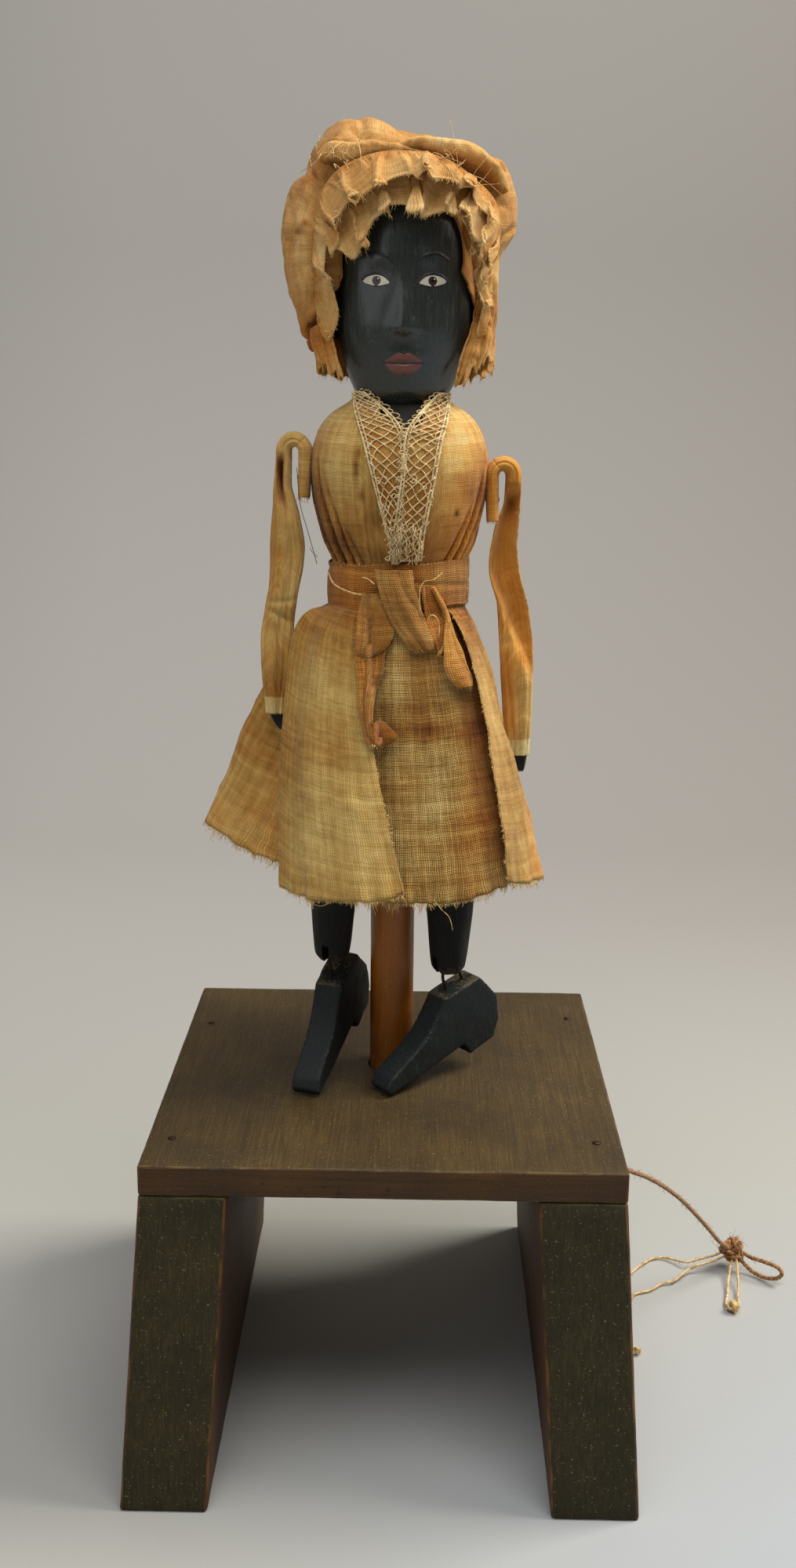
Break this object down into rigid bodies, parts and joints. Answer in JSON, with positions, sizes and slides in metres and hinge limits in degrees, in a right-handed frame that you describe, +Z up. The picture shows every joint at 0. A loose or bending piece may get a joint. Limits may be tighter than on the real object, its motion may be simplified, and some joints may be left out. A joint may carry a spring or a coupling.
{
  "type": "dancing doll toy",
  "caption": "Folk-art dancing doll in a muslin dress and gathered bonnet on a spindle over a small wooden bench; a pull string under the board spins it and its limp legs and arms swing",
  "frame": {"origin": "centre of the bench's foot print, on the surface it stands on", "axes": "+Z up along the spindle, the doll faces -Y, +X to the doll's left as it faces the viewer, towards the pull string"},
  "size_m": [0.2009, 0.151, 0.358],
  "materials": {
    "bench_board": "dark stained, satin, worn",
    "bench_legs": "olive-dark, rough sawn, matte",
    "spindle_wood": "orange-brown, satin",
    "dark_painted_wood": "worn blue-black paint, satin",
    "muslin": "tea-stained, frayed, matte",
    "sheer_muslin": "loose sheer weave, matte",
    "bonnet_muslin": "tea-stained, gathered, matte",
    "lace": "picot-edged, matte",
    "dull_steel": "dull, slightly rusted",
    "twine": "twisted, matte",
    "cotton_string": "thin, twisted, matte"
  },
  "bodies": {
    "stand": {"platform_board": "bench_board", "left_leg_board": "bench_legs", "right_leg_board": "bench_legs", "bearing_rail": "bench_board", "thrust_washer": "dull_steel", "board_nail_front_left": "dull_steel", "board_nail_front_right": "dull_steel", "board_nail_back_left": "dull_steel", "board_nail_back_right": "dull_steel", "rail_nail_left": "dull_steel", "rail_nail_right": "dull_steel", "string_lead": "twine", "pull_string": "twine", "string_knot": "twine", "pull_loop": "twine", "thin_string": "cotton_string", "thin_string_knot": "cotton_string", "second_string": "cotton_string", "tail_string": "cotton_string", "tail_string_knot": "cotton_string"},
    "doll": {"spindle": "spindle_wood", "pivot_screw": "dull_steel", "string_winding": "twine", "torso": "spindle_wood", "hip_pin": "dull_steel", "head": "dark_painted_wood", "bodice": "muslin", "collar_left": "lace", "collar_right": "lace", "sash_belt": "muslin", "sash_knot": "muslin", "sash_loop": "muslin", "sash_tail_left": "muslin", "sash_tail_right": "muslin", "skirt_wrap": "muslin", "skirt_front_panel": "sheer_muslin", "bonnet": "bonnet_muslin", "bonnet_ruffle": "bonnet_muslin", "shoulder_fold_left": "muslin", "shoulder_fold_right": "muslin", "shoulder_tack_left": "dull_steel", "shoulder_tack_right": "dull_steel"},
    "arm_left": {"sleeve_left": "muslin", "hand_left": "dark_painted_wood"},
    "arm_right": {"sleeve_right": "muslin", "hand_right": "dark_painted_wood"},
    "leg_left": {"leg_left": "dark_painted_wood", "ankle_pin_left": "dull_steel"},
    "leg_right": {"leg_right": "dark_painted_wood", "ankle_pin_right": "dull_steel"},
    "foot_left": {"shoe_left": "dark_painted_wood", "ankle_staple_left": "dull_steel"},
    "foot_right": {"shoe_right": "dark_painted_wood", "ankle_staple_right": "dull_steel"}
  },
  "joints": [
    {"name": "doll_spin", "type": "hinge", "parent": "stand", "child": "doll", "pos_m": [0.0008, 0.004, 0.094], "axis": [0, 0, 1], "continuous": true},
    {"name": "arm_left_swing", "type": "hinge", "parent": "doll", "child": "arm_left", "pos_m": [-0.0271, 0.003, 0.2727], "axis": [0, 1, 0], "range_deg": [0, 55]},
    {"name": "arm_right_swing", "type": "hinge", "parent": "doll", "child": "arm_right", "pos_m": [0.0297, 0.003, 0.2668], "axis": [0, -1, 0], "range_deg": [0, 55]},
    {"name": "leg_left_swing", "type": "hinge", "parent": "doll", "child": "leg_left", "pos_m": [-0.01495, 0.0005, 0.2], "axis": [-1, 0, 0], "range_deg": [-1, 10]},
    {"name": "leg_right_swing", "type": "hinge", "parent": "doll", "child": "leg_right", "pos_m": [0.01795, 0.0005, 0.2], "axis": [-1, 0, 0], "range_deg": [-1, 10]},
    {"name": "foot_left_flex", "type": "hinge", "parent": "leg_left", "child": "foot_left", "pos_m": [-0.01652, -0.00264, 0.13089], "axis": [-0.9397, 0.342, 0], "range_deg": [0, 25]},
    {"name": "foot_right_flex", "type": "hinge", "parent": "leg_right", "child": "foot_right", "pos_m": [0.01719, -0.00279, 0.12758], "axis": [-0.6225, 0.7826, 0], "range_deg": [0, 20]}
  ]
}
